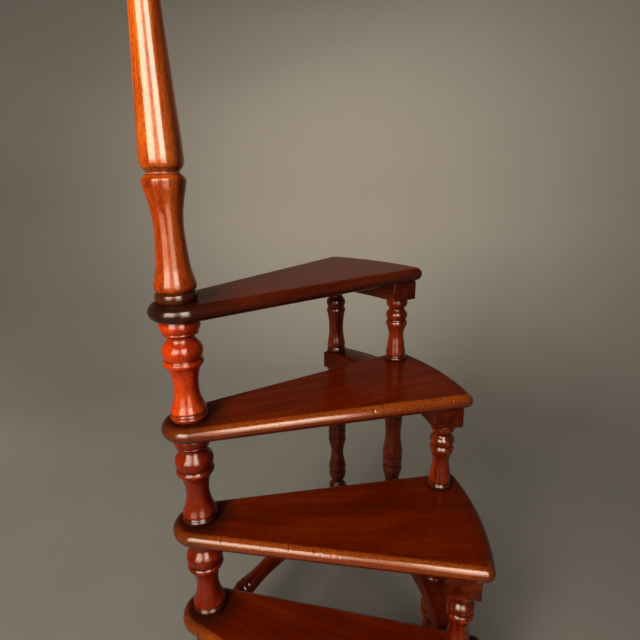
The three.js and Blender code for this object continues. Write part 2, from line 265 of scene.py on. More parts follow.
def mahogany(
    name, dark, middle, light, worn=(0.80, 0.40, 0.20), roughness=0.30, speckle=0.6, polish=0.9,
    figure_size=0.016, rings=(), lower=1.0, top_polish=None, coat_index=1.4,
):
    material, tree, shader = new_material(name)
    wood = attribute(tree, "wood", "Vector")
    own = attribute(tree, "own_place", "Vector")
    tone = attribute(tree, "tone")

    def pattern(across, along, detail, rough, bend=0.0):
        stretched = add_node(tree, "ShaderNodeMapping", Vector=wood, Scale=(across, across, along))
        return add_node(
            tree, "ShaderNodeTexNoise", Vector=stretched.outputs["Vector"], Scale=1.0, Detail=detail,
            Roughness=rough, Distortion=bend,
        ).outputs["Fac"]

    def product(first, second):
        return calculate(tree, "MULTIPLY", first, second)

    figure = pattern(1 / figure_size, FIGURE_SLOWNESS / figure_size, 3.0, 0.55, 0.7)
    fibre, fleck, cloud = pattern(*FIBRE), pattern(*FLECK), pattern(*CLOUD)
    blend = product(figure, FIGURE_SHARE)
    for part, share in ((fibre, FIBRE_SHARE), (fleck, FLECK_SHARE), (cloud, CLOUD_SHARE)):
        blend = calculate(tree, "ADD", blend, product(part, share))
    colour = colour_ramp(tree, blend, (0.38, dark), (0.50, middle), (0.62, light))

    pores = between(tree, fleck, 0.40, 0.30, 0.0, speckle)
    colour = mix(tree, pores, colour, opaque(dark, PORE_SHADE))
    broken = between(tree, fleck, 0.35, 0.6, 0.35, 1.0)
    rubbed = product(between(tree, tone, 0.0, 1.0, 0.0, 1.0), broken)
    colour = mix(tree, rubbed, colour, opaque(worn))

    # Below zero, tone mixes towards the dark colour: old polish in grooves, and painted shade under collars,
    # necks and a tread's edge.
    dirt_and_shade = between(tree, tone, -1.0, 0.0, THICKEST_DIRT_AND_SHADE, 0.0)
    flat = add_node(tree, "ShaderNodeVectorMath", {"operation": "MULTIPLY"}, own, (1, 1, 0))
    patchy = between(tree, cloud, 0.3, 0.6, 0.7, 1.0)
    # Rings of painted shade and dirt round the feet of the newel, a baluster and the handle, and a band that
    # darkens towards the outer rim.
    for x, y, inner, outer, strength in rings:
        away = add_node(
            tree, "ShaderNodeVectorMath", {"operation": "DISTANCE"}, flat.outputs["Vector"], (x, y, 0)
        ).outputs["Value"]
        ring = product(between(tree, away, inner, outer, strength, 0.0), patchy)
        dirt_and_shade = calculate(tree, "MAXIMUM", dirt_and_shade, ring)
    # Painted shade: copies below the top one are mixed darker, and the top one gets less of the dark mix.
    if lower < 1:
        copy = attribute(tree, "copy")
        dirt_and_shade = product(dirt_and_shade, between(tree, copy, 1.0, 2.0, 1.0, 0.75))
        shade = between(tree, copy, 1.0, 2.0, 1.0 - lower, 0.0)
        colour = mix(tree, shade, colour, opaque(dark, LOW_SHADE))
    # The dark mix is dirt and painted shade together.
    colour = mix(tree, dirt_and_shade, colour, opaque(DIRT_AND_SHADE_COLOUR))

    coat = polish
    if top_polish is not None:
        coat = between(tree, split_vector(tree, own)[2], *TOP_FACE, polish, top_polish)
    height = calculate(tree, "SUBTRACT", product(cloud, 1.2), product(pores, 0.6))
    fill(
        tree, shader, Base_Color=colour, Normal=bump(tree, height, 0.25, 0.0004),
        Roughness=between(tree, cloud, 0.3, 0.7, roughness - 0.06, roughness + 0.08),
        Specular_IOR_Level=0.0, Coat_Weight=coat, Coat_Roughness=0.16, Coat_IOR=coat_index,
    )
    return material


# Tread rings: centre, inner and outer radius, strength. Round the newel, the baluster foot and the handle
# they are painted shade with dirt; the rim band is darker towards the outer edge.
BALUSTER_FOOT = math.radians(10.5)
NEWEL_SHADE_AND_DIRT = (0, 0, 0.030, 0.072, 0.92)
BALUSTER_SHADE_AND_DIRT = (RING * math.cos(BALUSTER_FOOT), RING * math.sin(BALUSTER_FOOT), 0.020, 0.031, 0.9)
RIM_DARKENING = (0, 0, 0.500, 0.466, 0.5)
HANDLE_SHADE_AND_DIRT = (0, 0, 0.045, 0.110, 0.9)

POLE_WOOD = mahogany(
    "pole_mahogany", (0.24, 0.022, 0.0006), (0.58, 0.088, 0.002), (0.84, 0.205, 0.013),
    polish=1.0, coat_index=1.5,
)
HANDLE_WOOD = mahogany(
    "handle_mahogany", (0.19, 0.014, 0.0005), (0.41, 0.048, 0.0016), (0.66, 0.112, 0.007),
)
# Through `lower`, the newel segments below the top one get painted shade.
NEWEL_WOOD = mahogany(
    "newel_mahogany", (0.26, 0.012, 0.0003), (0.56, 0.039, 0.0006), (0.78, 0.084, 0.003),
    polish=0.8, lower=0.30,
)
BALUSTER_WOOD = mahogany(
    "baluster_mahogany", (0.050, 0.003, 0.0002), (0.17, 0.013, 0.0005), (0.34, 0.042, 0.002),
    worn=(0.50, 0.20, 0.09), speckle=0.55, figure_size=0.014,
)
# A darker copy of the baluster wood for the long posts under the treads: painted shade.
SHADED_POST_WOOD = mahogany(
    "post_mahogany", (0.025, 0.0020, 0.0002), (0.085, 0.0070, 0.0004), (0.18, 0.022, 0.001),
    worn=(0.40, 0.16, 0.07), speckle=0.55, figure_size=0.014,
)
TREAD_WOOD = mahogany(
    "tread_mahogany", (0.074, 0.0068, 0.0003), (0.114, 0.0086, 0.0001), (0.165, 0.0165, 0.0003),
    worn=(0.70, 0.15, 0.015), speckle=0.32, polish=1.0, top_polish=0.25, figure_size=0.022,
    rings=(NEWEL_SHADE_AND_DIRT, BALUSTER_SHADE_AND_DIRT, RIM_DARKENING),
)
TOP_TREAD_WOOD = mahogany(
    "top_tread_mahogany", (0.058, 0.0050, 0.0007), (0.094, 0.0098, 0.0012), (0.132, 0.0155, 0.0018),
    worn=(0.30, 0.08, 0.02), roughness=0.32, speckle=0.3, top_polish=0.36, figure_size=0.022,
    rings=(HANDLE_SHADE_AND_DIRT,),
)
RAIL_WOOD = mahogany(
    "rail_mahogany", (0.030, 0.0025, 0.0002), (0.085, 0.0080, 0.0004), (0.16, 0.020, 0.001),
    worn=(0.30, 0.10, 0.04), roughness=0.40, speckle=0.5, polish=0.5, figure_size=0.018,
)
print("woods:", [material.name for material in bpy.data.materials])

# %% [markdown]
# ## Steel for the screws
#
# Wood screws hold the treads down on their bearers, and a double-ended screw joins the pole to its
# base. They are deep in the wood, so their finish is simple: bright steel with fine turning marks.


# %% Steel finish
def screw_steel():
    material, tree, shader = new_material("screw_steel")
    place = add_node(tree, "ShaderNodeTexCoord").outputs["Object"]
    turned = add_node(tree, "ShaderNodeMapping", Vector=place, Scale=(90, 90, 2400)).outputs["Vector"]
    marks = add_node(tree, "ShaderNodeTexNoise", Vector=turned, Scale=1.0, Detail=3.0).outputs["Fac"]
    colour = colour_ramp(tree, marks, (0.0, (0.34, 0.33, 0.31)), (1.0, (0.62, 0.61, 0.58)))
    fill(
        tree, shader, Base_Color=colour, Normal=bump(tree, marks, 0.3, 0.0001), Metallic=1.0,
        Roughness=0.32,
    )
    return material


STEEL = screw_steel()
for name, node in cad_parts.items():
    if "screw" in name:
        node.data.materials.clear()
        node.data.materials.append(STEEL)
print("steel nodes:", sum("screw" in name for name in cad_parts))

# %% [markdown]
# ## How a turner describes a shape
#
# A turning is one outline swept round an axis. A turner cuts it as a row of strokes, such as a bead, a
# hollow or a long vase, with a crisp corner wherever two strokes meet. So each outline here is a list
# of strokes, and each stroke a few points of distance from the top and diameter, in millimetres. A
# smooth curve runs through the points of a stroke, and the corners between strokes stay sharp.

# %% Outlines from strokes
POINT_SPACING = 1.3
MOST_POINTS = 10
GROOVE_REACH = 4.5
GROOVE_DEPTH = 2.2
DARKEST_GROOVE = 0.75


def between_points(p, q, r, s, t):
    square = (2 * p - 5 * q + 4 * r - s) * t * t
    cube = (3 * q - p - 3 * r + s) * t ** 3
    return 0.5 * (2 * q + (r - p) * t + square + cube)


def smooth_stroke(points):
    if len(points) < 3:
        return list(points)
    ends = [points[0]] + list(points) + [points[-1]]
    curve = []
    for a, b, c, d in zip(ends, ends[1:], ends[2:], ends[3:]):
        length = math.hypot(c[0] - b[0], (c[1] - b[1]) / 2)
        parts = max(1, min(MOST_POINTS, round(length / POINT_SPACING)))
        for part in range(parts):
            curve.append(tuple(between_points(*four, part / parts) for four in zip(a, b, c, d)))
    return curve + [points[-1]]


def outline(strokes):
    rows = []
    for stroke in strokes:
        for row in smooth_stroke(stroke):
            if not rows or math.dist(row, rows[-1]) > 1e-6:
                rows.append(row)
    return rows


def groove_tone(rows, place):
    near = [row[1] for row in rows if abs(row[0] - rows[place][0]) < GROOVE_REACH]
    hollow = (sum(near) / len(near) - rows[place][1]) / 2
    return -max(0.0, min(DARKEST_GROOVE, hollow / GROOVE_DEPTH))


print("outline helper ready")

# %% [markdown]
# ## The turnery tree
#
# The lathe itself is a Geometry Nodes tree. It takes the outline as a chain of points, makes a flat
# grid with one column for each facet and one row for each point, and bends the grid round the axis by
# reading the outline at each row. A Screw modifier would sweep the same shape, but this tree also
# carries the tone of each row over to the finished mesh. Its first helpers also serve the trees after
# it.


# %% Turnery tree
def new_tree(name, sockets):
    tree = bpy.data.node_groups.new(name, "GeometryNodeTree")
    tree.interface.new_socket("Geometry", in_out="INPUT", socket_type="NodeSocketGeometry")
    for label, kind in sockets:
        tree.interface.new_socket(label, in_out="INPUT", socket_type=f"NodeSocket{kind}")
    tree.interface.new_socket("Geometry", in_out="OUTPUT", socket_type="NodeSocketGeometry")
    return tree, add_node(tree, "NodeGroupInput").outputs, add_node(tree, "NodeGroupOutput")


def shape_from(tree, kind, settings=None, **named_values):
    return add_node(tree, kind, settings, **named_values).outputs["Geometry"]


def stored(tree, shape, name, kind, value, domain="POINT"):
    settings = {"data_type": kind, "domain": domain}
    return shape_from(
        tree, "GeometryNodeStoreNamedAttribute", settings, Geometry=shape, Name=name, Value=value
    )


def read_back(tree, name, kind):
    return add_node(
        tree, "GeometryNodeInputNamedAttribute", {"data_type": kind}, Name=name
    ).outputs["Attribute"]


def on_circle(tree, radius, angle, height):
    x = calculate(tree, "MULTIPLY", radius, calculate(tree, "COSINE", angle))
    y = calculate(tree, "MULTIPLY", radius, calculate(tree, "SINE", angle))
    return join_vector(tree, x, y, height)


def turnery_tree():
    tree, given, result = new_tree("Turnery", [("Facets", "Int")])
    rows = add_node(
        tree, "GeometryNodeAttributeDomainSize", {"component": "MESH"}, Geometry=given["Geometry"]
    ).outputs["Point Count"]
    columns = calculate(tree, "ADD", given["Facets"], 1)
    grid = add_node(tree, "GeometryNodeMeshGrid", Vertices_X=columns, Vertices_Y=rows).outputs["Mesh"]
    index = add_node(tree, "GeometryNodeInputIndex").outputs["Index"]
    row = calculate(tree, "MODULO", index, rows)
    column = calculate(tree, "FLOOR", calculate(tree, "DIVIDE", index, rows))
    angle = calculate(tree, "MULTIPLY", calculate(tree, "DIVIDE", column, given["Facets"]), math.tau)

    def from_outline(kind, value):
        return add_node(
            tree, "GeometryNodeSampleIndex", {"data_type": kind, "domain": "POINT"},
            Geometry=given["Geometry"], Value=value, Index=row,
        ).outputs["Value"]

    point = add_node(tree, "GeometryNodeInputPosition").outputs["Position"]
    radius, _, height = split_vector(tree, from_outline("FLOAT_VECTOR", point))
    tone = from_outline("FLOAT", read_back(tree, "tone", "FLOAT"))
    place = on_circle(tree, radius, angle, height)
    shape = shape_from(tree, "GeometryNodeSetPosition", Geometry=grid, Position=place)
    shape = stored(tree, shape, "tone", "FLOAT", tone)
    shape = shape_from(tree, "GeometryNodeMergeByDistance", Geometry=shape, Distance=1e-6)
    fill(tree, result, shape)
    return tree


TURNERY = turnery_tree()
print("turnery tree:", len(TURNERY.nodes), "nodes")

# %% [markdown]
# ## The finishing tree
#
# Each piece is cut from its own board, and the grain has to follow it. The finishing tree writes down
# the board coordinates: grain up a turning, grain along a tread, or grain round a bent rail. It works
# from the shape as it stands, so it comes after the bores are cut. It also keeps every corner crisp
# that is sharper than a set angle, smooths the rest, and gives the wood its finish.


# %% Finishing tree
def give_finish(tree, shape, given, result):
    fill(tree, result, shape_from(
        tree, "GeometryNodeSetMaterial", Geometry=shape, Material=given["Material"]
    ))
    return tree


def finishing_tree(name, grain_way):
    tree, given, result = new_tree(name, [("Material", "Material"), ("Corner", "Float")])
    place = add_node(tree, "GeometryNodeInputPosition").outputs["Position"]
    board = grain_way(tree, *split_vector(tree, place))
    shape = stored(tree, given["Geometry"], "wood", "FLOAT_VECTOR", board)
    shape = stored(tree, shape, "own_place", "FLOAT_VECTOR", place)
    shape = shape_from(tree, "GeometryNodeSetShadeSmooth", {"domain": "FACE"}, Geometry=shape)
    fold = add_node(tree, "GeometryNodeInputMeshEdgeAngle").outputs["Unsigned Angle"]
    settings = {"data_type": "FLOAT", "operation": "GREATER_THAN"}
    sharp = add_node(tree, "FunctionNodeCompare", settings, fold, given["Corner"]).outputs["Result"]
    shape = shape_from(
        tree, "GeometryNodeSetShadeSmooth", {"domain": "EDGE"}, Geometry=shape, Selection=sharp,
        Shade_Smooth=False,
    )
    return give_finish(tree, shape, given, result)


def grain_up(tree, x, y, z):
    return join_vector(tree, x, y, z)


def grain_along(tree, x, y, z):
    return join_vector(tree, y, z, x)


def grain_round(tree, x, y, z):
    squares = [calculate(tree, "MULTIPLY", value, value) for value in (x, y)]
    away = calculate(tree, "SQRT", calculate(tree, "ADD", *squares))
    return join_vector(tree, away, z, calculate(tree, "MULTIPLY", calculate(tree, "ARCTAN2", y, x), RING))


TURNED_FINISH = finishing_tree("Grain up", grain_up)
BOARD_FINISH = finishing_tree("Grain along", grain_along)
BENT_FINISH = finishing_tree("Grain round", grain_round)
print("finishing trees:", TURNED_FINISH.name, BOARD_FINISH.name, BENT_FINISH.name)

# %% [markdown]
# ## The winding tree
#
# The flight is one rule used again and again: turn by the same angle, climb by the same rise. A second
# tree takes one finished piece and repeats it by that rule, and it serves the treads, the newel
# segments and every set of balusters. Each copy gets its number in an attribute, and its board
# coordinates are moved on by a fixed amount, so that no two copies show the same grain.

# %% Winding tree
COPY_SHIFT = (0.173, 0.291, 0.619)


def winding_tree():
    tree, given, result = new_tree("Winding", [
        ("Count", "Int"), ("First Angle", "Float"), ("Turn", "Float"), ("Foot Height", "Float"),
        ("Climb", "Float"), ("Ring", "Float"), ("Material", "Material"),
    ])
    index = add_node(tree, "GeometryNodeInputIndex").outputs["Index"]

    def stepped(start, each):
        return calculate(tree, "ADD", given[start], calculate(tree, "MULTIPLY", index, given[each]))

    angle = stepped("First Angle", "Turn")
    place = on_circle(tree, given["Ring"], angle, stepped("Foot Height", "Climb"))
    settings = {"mode": "OFFSET", "count_mode": "TOTAL"}
    line = add_node(tree, "GeometryNodeMeshLine", settings, Count=given["Count"]).outputs["Mesh"]
    points = shape_from(tree, "GeometryNodeSetPosition", Geometry=line, Position=place)
    turned = add_node(tree, "FunctionNodeEulerToRotation", Euler=join_vector(tree, 0.0, 0.0, angle))
    copies = add_node(
        tree, "GeometryNodeInstanceOnPoints", Points=points, Instance=given["Geometry"],
        Rotation=turned.outputs["Rotation"],
    ).outputs["Instances"]
    shape = stored(tree, copies, "copy", "FLOAT", index, "INSTANCE")
    shape = shape_from(tree, "GeometryNodeRealizeInstances", Geometry=shape)

    copy = read_back(tree, "copy", "FLOAT")
    shift = add_node(tree, "ShaderNodeVectorMath", {"operation": "SCALE"}, COPY_SHIFT, Scale=copy)
    moved = add_node(
        tree, "ShaderNodeVectorMath", {"operation": "ADD"}, read_back(tree, "wood", "FLOAT_VECTOR"),
        shift.outputs["Vector"],
    )
    shape = stored(tree, shape, "wood", "FLOAT_VECTOR", moved.outputs["Vector"])
    return give_finish(tree, shape, given, result)


WINDING = winding_tree()
print("winding tree:", len(WINDING.nodes), "nodes")

# %% [markdown]
# ## From tree to plain mesh
#
# A finished piece is a plain mesh that rides on its part of the steps. The inputs of a tree are set by
# their identifiers before the object is first evaluated. Then the evaluated result is copied into a
# new mesh, and the working object with its modifiers is thrown away.


# %% Plain meshes
BORE_FACETS = 24
SHARPEST_TURNED = math.radians(34)


def add_tree(thing, tree, **inputs):
    modifier = thing.modifiers.new(tree.name, "NODES")
    modifier.node_group = tree
    for item in tree.interface.items_tree:
        label = item.name.replace(" ", "_")
        if item.item_type == "SOCKET" and item.in_out == "INPUT" and label in inputs:
            modifier[item.identifier] = inputs[label]


def new_object(name, mesh):
    thing = bpy.data.objects.new(name, mesh)
    bpy.context.scene.collection.objects.link(thing)
    return thing


def object_from(name, shape):
    mesh = bpy.data.meshes.new(name)
    shape.to_mesh(mesh)
    shape.free()
    return new_object(name, mesh)


def skin(shape, rings):
    count = len(rings[0])
    for low, high in zip(rings, rings[1:]):
        for i in range(count):
            j = (i + 1) % count
            shape.faces.new((low[i], low[j], high[j], high[i]))
    shape.faces.new(list(reversed(rings[0])))
    shape.faces.new(rings[-1])


def bore(thing, holes):
    cutter = bmesh.new()
    angles = [math.tau * i / BORE_FACETS for i in range(BORE_FACETS)]
    for x, y, rows, lay in holes:
        skin(cutter, [
            [
                cutter.verts.new(lay @ Vector((x + radius * math.cos(a), y + radius * math.sin(a), height)))
                for a in angles
            ]
            for height, radius in rows
        ])
    tool = object_from(thing.name + "_bores", cutter)
    cut = thing.modifiers.new("bores", "BOOLEAN")
    cut.operation = "DIFFERENCE"
    cut.solver = "EXACT"
    cut.object = tool
    return tool


def settle(thing, tool=None):
    graph = bpy.context.evaluated_depsgraph_get()
    mesh = bpy.data.meshes.new_from_object(thing.evaluated_get(graph), depsgraph=graph)
    name = thing.name
    bpy.data.objects.remove(thing)
    if tool:
        bpy.data.objects.remove(tool)
    mesh.name = name
    return new_object(name, mesh)


def hand_over(piece, body, nodes):
    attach(piece, body)
    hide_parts(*nodes)
    piece.data.calc_loop_triangles()
    print(f"{piece.name}: {len(piece.data.loop_triangles)} triangles for {len(nodes)} node(s)")


def chain(name, rows):
    mesh = bpy.data.meshes.new(name)
    points = [(radius, 0, height) for height, radius, tone in rows]
    mesh.from_pydata(points, [(i, i + 1) for i in range(len(rows) - 1)], [])
    tone = mesh.attributes.new("tone", "FLOAT", "POINT")
    tone.data.foreach_set("value", [row[2] for row in rows])
    return new_object(name, mesh)


def turned_piece(name, rows, facets, wood, holes=(), **winding):
    piece = chain(name, rows)
    add_tree(piece, TURNERY, Facets=facets)
    tool = bore(piece, holes) if holes else None
    add_tree(piece, TURNED_FINISH, Material=wood, Corner=SHARPEST_TURNED)
    if winding:
        add_tree(piece, WINDING, Material=wood, **winding)
    return settle(piece, tool)


def turned_rows(strokes, top, bottom, stains_and_shade=(), head=(), foot=()):
    shape = outline(strokes)
    low, high = shape[0][0], shape[-1][0]
    scale = (top - bottom) / (high - low)
    rows = []
    for place, (depth, diameter) in enumerate(shape):
        tone = groove_tone(shape, place)
        for start, end, amount in stains_and_shade:
            if start <= depth <= end:
                tone = amount if amount > 0 else min(tone, amount)
        rows.append((top - (depth - low) * scale, diameter / 2 * MM, tone))
    rows.reverse()
    start = [(height, radius, 0.0) for height, radius in foot] or [(bottom, 0.0, 0.0)]
    end = [(height, radius, 0.0) for height, radius in head] or [(top, 0.0, 0.0)]
    return start + rows + end


def tenon_foot(bottom, radius=TENON, length=TENON_LENGTH):
    return [(bottom - length, 0.0), (bottom - length, radius), (bottom, radius)]


def tenon_head(top, radius=TENON, length=TENON_LENGTH):
    return [(top, radius), (top + length, radius), (top + length, 0.0)]


# A pocket is a tenon that goes into the piece instead of out of it.
def pocket_foot(bottom, radius, depth):
    return tenon_foot(bottom, radius, -depth)


def pocket_head(top, radius, depth):
    return tenon_head(top, radius, -depth)


print("mesh helpers ready")

# %% [markdown]
# ## The newel
#
# The newel looks like one post, but it is a stack of four equal turnings with the treads clamped
# between them. Each has a rounded collar under its tread, a short neck, a fat ball over a sharp ring,
# and a vase that flares out to a groove and a base ring. A spigot on top passes up through the tread
# into a socket in the next turning, so the outline also runs round the spigot and up into the socket.

# %% Newel segments
NEWEL_STROKES = [
    [(0, 58.6), (2, 59.8), (6, 62.6), (10, 64.8), (13, 65.2), (16, 63.8), (19.5, 60.2), (22.6, 56.6)],
    [(22.6, 56.6), (23.5, 57.6), (24.8, 57.6), (25.9, 56)],
    [(26.4, 50.4), (28, 46.2), (31, 43.8), (35, 45.4), (39.5, 51.4), (44.5, 59.4), (49.5, 64.6),
     (54, 65.9), (58.5, 65.2), (63, 62.6), (67, 58.8)],
    [(67, 58.8), (68.4, 59.2), (69.8, 61.4)],
    [(69.8, 61.4), (71.5, 64), (74, 65.4), (76.4, 64.8), (78.6, 62), (80.4, 58.6)],
    [(80.4, 58.6), (83, 55.4), (90, 49.4), (99, 44.4), (108, 41.4), (118, 40.2), (126, 41),
     (134, 43.4), (141, 46.6), (148, 51.2), (154, 56.4), (157.4, 59.2), (159, 59.6), (160, 58.8)],
    [(160, 58.8), (161, 56.2), (162, 57.4)],
    [(162, 57.4), (163.2, 59.4), (164.6, 59.2), (165.4, 57.6)],
    [(165.4, 57.6), (167.2, 60.6), (169.4, 61.6), (171.8, 60.6), (174, 57.4)],
]
# The collar's top under the tread and the neck below it are painted shade over old polish; the rest is old
# polish in the grooves and on the base ring.
NEWEL_STAINS_AND_SHADE = [
    (0, 6, -0.5), (19.5, 25.4, -0.4), (25.4, 28, -0.8), (66.2, 69.4, -0.85), (159.4, 162.4, -0.95),
    (162.4, 164.9, -0.6), (164.9, 166, -0.9), (166, 174, -0.75),
]
NEWEL_FACETS = 64
GRAIN_TURN = 0.4

NEWEL_TOP = rail_top(1)
SPIGOT_TOP = RISE + SPIGOT_SOCKET - GAP
NEWEL_HEAD = [(NEWEL_TOP, SPIGOT), (SPIGOT_TOP, SPIGOT), (SPIGOT_TOP, 0.0)]
REAR_COLUMN = column_angle(STEPS + 1)
STRETCHER_HEIGHT = (rail_top(1) + rail_bottom(1)) / 2
STRETCHER_LAY = (
    Matrix.Translation((0, 0, STRETCHER_HEIGHT))
    @ Matrix.Rotation(REAR_COLUMN, 4, "Z")
    @ Matrix.Rotation(math.pi / 2, 4, "Y")
)
STRETCHER_BORE_START = 0.011
STRETCHER_BORE_END = 0.444 - GAP
STRETCHER_BORE_ROWS = [(STRETCHER_BORE_START, TENON + GAP), (STRETCHER_BORE_END, TENON + GAP)]
STRETCHER_BORE = (0, 0, STRETCHER_BORE_ROWS, STRETCHER_LAY)

lowest = turned_piece(
    "newel_lowest", turned_rows(NEWEL_STROKES, NEWEL_TOP, 0.0, NEWEL_STAINS_AND_SHADE, head=NEWEL_HEAD),
    NEWEL_FACETS, NEWEL_WOOD, [STRETCHER_BORE],
)
hand_over(lowest, "steps", ["newel_segment_1"])

upper_rows = turned_rows(
    NEWEL_STROKES, NEWEL_TOP, GAP, NEWEL_STAINS_AND_SHADE, head=NEWEL_HEAD,
    foot=pocket_foot(GAP, SPIGOT + GAP, SPIGOT_SOCKET),
)
upper = turned_piece(
    "newel_upper", upper_rows, NEWEL_FACETS, NEWEL_WOOD, Count=STEPS - 1, First_Angle=GRAIN_TURN, Turn=TURN,
    Foot_Height=RISE, Climb=RISE, Ring=0.0,
)
hand_over(upper, "steps", [f"newel_segment_{step}" for step in range(2, STEPS + 1)])

# %% [markdown]
# ## The handle: base, pole and finial
#
# On the top tread stands a tall vase with a dark base ring, and the pole screws down on it. The thin
# pale line at the neck is where the two meet. The pole swells to its thickest just above that line and
# then tapers all the way up. Its top is outside the photograph, so a plain ring and a turned finial
# are a guess at how such a pole ends.

# %% Handle pieces
HANDLE_STROKES = [
    [(0, 47.6), (0.6, 48), (3, 53), (6, 59.6), (8.6, 62.8)],
    [(8.6, 62.8), (10.4, 63.7), (12.6, 63.5)],
    [(12.6, 63.5), (18, 61.8), (24, 59.4), (30, 56.4), (38, 52.6), (46, 49.6), (56, 46.6), (68, 44.4),
     (78, 43.8), (88, 44.2), (98, 45.6), (108, 47), (118, 48.4), (128, 50.2), (140, 53.4), (150, 58),
     (157, 62), (162, 64.2), (165.6, 64.9), (168.6, 64.2), (171, 62), (172.4, 59.6)],
    [(172.4, 59.6), (173.6, 58.6), (174.8, 60.2)],
    [(174.8, 60.2), (176.6, 63.4), (180.6, 65.4), (184.6, 65.2), (188, 63.6), (190, 61.4)],
]
POLE_STROKES = [
    [(0, 27), (1.5, 34.6)],
    [(1.5, 34.6), (4, 37.4), (8, 38.2), (12, 37.4), (14.5, 34.6)],
    [(14.5, 34.6), (16, 30)],
    [(16, 30), (20, 27.8), (28, 26.8), (40, 27.2), (56, 28.6), (90, 31.4), (120, 34.4), (150, 37.8),
     (184, 42.2), (228, 46.6), (276, 52.2), (310, 56), (339, 59.6), (360, 61.8), (374, 62.9), (380, 63.2),
     (385, 63.1), (389, 61.8), (392, 59), (395, 54.4), (397.4, 49.8)],
    [(397.4, 49.8), (398.6, 48), (400, 47.6)],
]
FINIAL_STROKES = [
    [(1.3, 0), (1.4, 4), (2.4, 10), (4.6, 13.8), (7, 14.6), (8.8, 13.4)],
    [(8.8, 16.8), (11, 26), (14.5, 34.6), (20, 42.3), (28, 47.4), (33, 47.2), (38, 44), (43.5, 36.5),
     (48, 26.5), (51.5, 21.4), (53.6, 20.8)],
    [(53.6, 20.8), (55, 28.4)],
    [(55, 28.4), (56.6, 30.9), (58.6, 31.5), (60.6, 30.6), (62, 28)],
]
HANDLE_STAINS = [(0, 0.7, 0.75), (171.8, 174.8, -0.9), (174.8, 190, -0.88)]
POLE_STAINS = [(14, 17, -0.5), (393, 399, -0.6)]
FINIAL_STAINS = [(53, 55.2, -0.6)]
HANDLE_FOOT = tread_top(STEPS) + GAP
HANDLE_SEAT = tread_top(STEPS) + 0.190
POLE_END = HANDLE_SEAT + 0.400
FINIAL_HEIGHT = 0.0607
HANDLE_FACETS = 72
FINIAL_FACETS = 48
SCREW_POCKET = (0.0053, 0.0315)
FINIAL_POCKET = (0.0073, 0.0203)
FINIAL_TENON = (0.007, 0.0203)

handle = turned_piece("handle_vase", turned_rows(
    HANDLE_STROKES, HANDLE_SEAT, HANDLE_FOOT, HANDLE_STAINS, head=pocket_head(HANDLE_SEAT, *SCREW_POCKET),
    foot=pocket_foot(HANDLE_FOOT, SPIGOT + GAP, SPIGOT_SOCKET),
), HANDLE_FACETS, HANDLE_WOOD)
hand_over(handle, "steps", ["handle_base"])

pole = turned_piece("pole_turning", turned_rows(
    POLE_STROKES, POLE_END, HANDLE_SEAT + GAP, POLE_STAINS, head=pocket_head(POLE_END, *FINIAL_POCKET),
    foot=pocket_foot(HANDLE_SEAT + GAP, *SCREW_POCKET),
), HANDLE_FACETS, POLE_WOOD)
hand_over(pole, "pole", ["pole"])

finial_foot = POLE_END + GAP
finial = turned_piece("finial_turning", turned_rows(
    FINIAL_STROKES, finial_foot + FINIAL_HEIGHT, finial_foot, FINIAL_STAINS,
    foot=tenon_foot(finial_foot, *FINIAL_TENON),
), FINIAL_FACETS, POLE_WOOD)
hand_over(finial, "pole", ["finial"])

# %% [markdown]
# ## Balusters, posts and legs
#
# The columns are all the same kind of turning: a collar, a ball and a ring at the head, a vase, and a
# dark base ring. Only the vase's length changes. The short ones stand on the treads and on the floor,
# a slightly longer one carries the top bearer at the back, and the long posts repeat the pattern twice
# between the base rail and the upper rail. Each set is one outline, repeated by the winding tree.

# %% Column outlines
HEAD = [(0, 41), (1.5, 43), (5, 44.2), (9, 44.4), (12.5, 42.6), (16, 37.6)]
BALUSTER_STROKES = [
    HEAD,
    [(16, 37.6), (18.5, 33.6), (21.5, 31.6), (24.5, 34.5), (28, 40.4), (31.5, 44.2), (34.5, 44.9),
     (38, 44.4), (41.5, 41.8), (44, 39)],
    [(44, 39), (45, 38), (46.2, 38.8)],
    [(46.2, 38.8), (48.5, 42.6), (51.5, 44.5), (54.5, 44.7), (57.5, 43), (60, 40.4)],
    [(60, 40.4), (65, 36.4), (72, 33), (80, 31.2), (88, 32.4), (97, 35.4), (106, 37.8), (114, 40),
     (120, 41.4), (123, 41.2), (125, 39.6)],
    [(125, 39.6), (126.2, 37.6), (127.4, 38.4)],
    [(127.4, 38.4), (129.4, 42.8), (131.8, 44.6), (134.2, 44), (136, 41.6)],
]
REAR_HEAD = [
    HEAD,
    [(16, 37.6), (19, 33.8), (22, 31.6), (25.5, 34.6), (29.5, 40.4), (33.5, 44.2), (37, 44.9),
     (40.5, 44.4), (44.5, 42), (47.2, 39.6)],
    [(47.2, 39.6), (48.4, 38.4), (49.6, 39.2)],
    [(49.6, 39.2), (52.2, 42.6), (55.5, 44.3), (58.5, 44.4), (61.5, 42.8), (64.5, 40.8)],
]
REAR_STROKES = REAR_HEAD + [
    [(64.5, 40.8), (72, 38.8), (80, 36.8), (90, 34.8), (100, 34.2), (112, 34.8), (124, 37), (133, 40.2),
     (140, 42.4), (144, 42.6), (148, 41.4)],
    [(148, 41.4), (149.4, 40), (150.8, 40.6)],
    [(150.8, 40.6), (153, 43.6), (156, 44.8), (159, 44.2), (162, 41.6)],
]
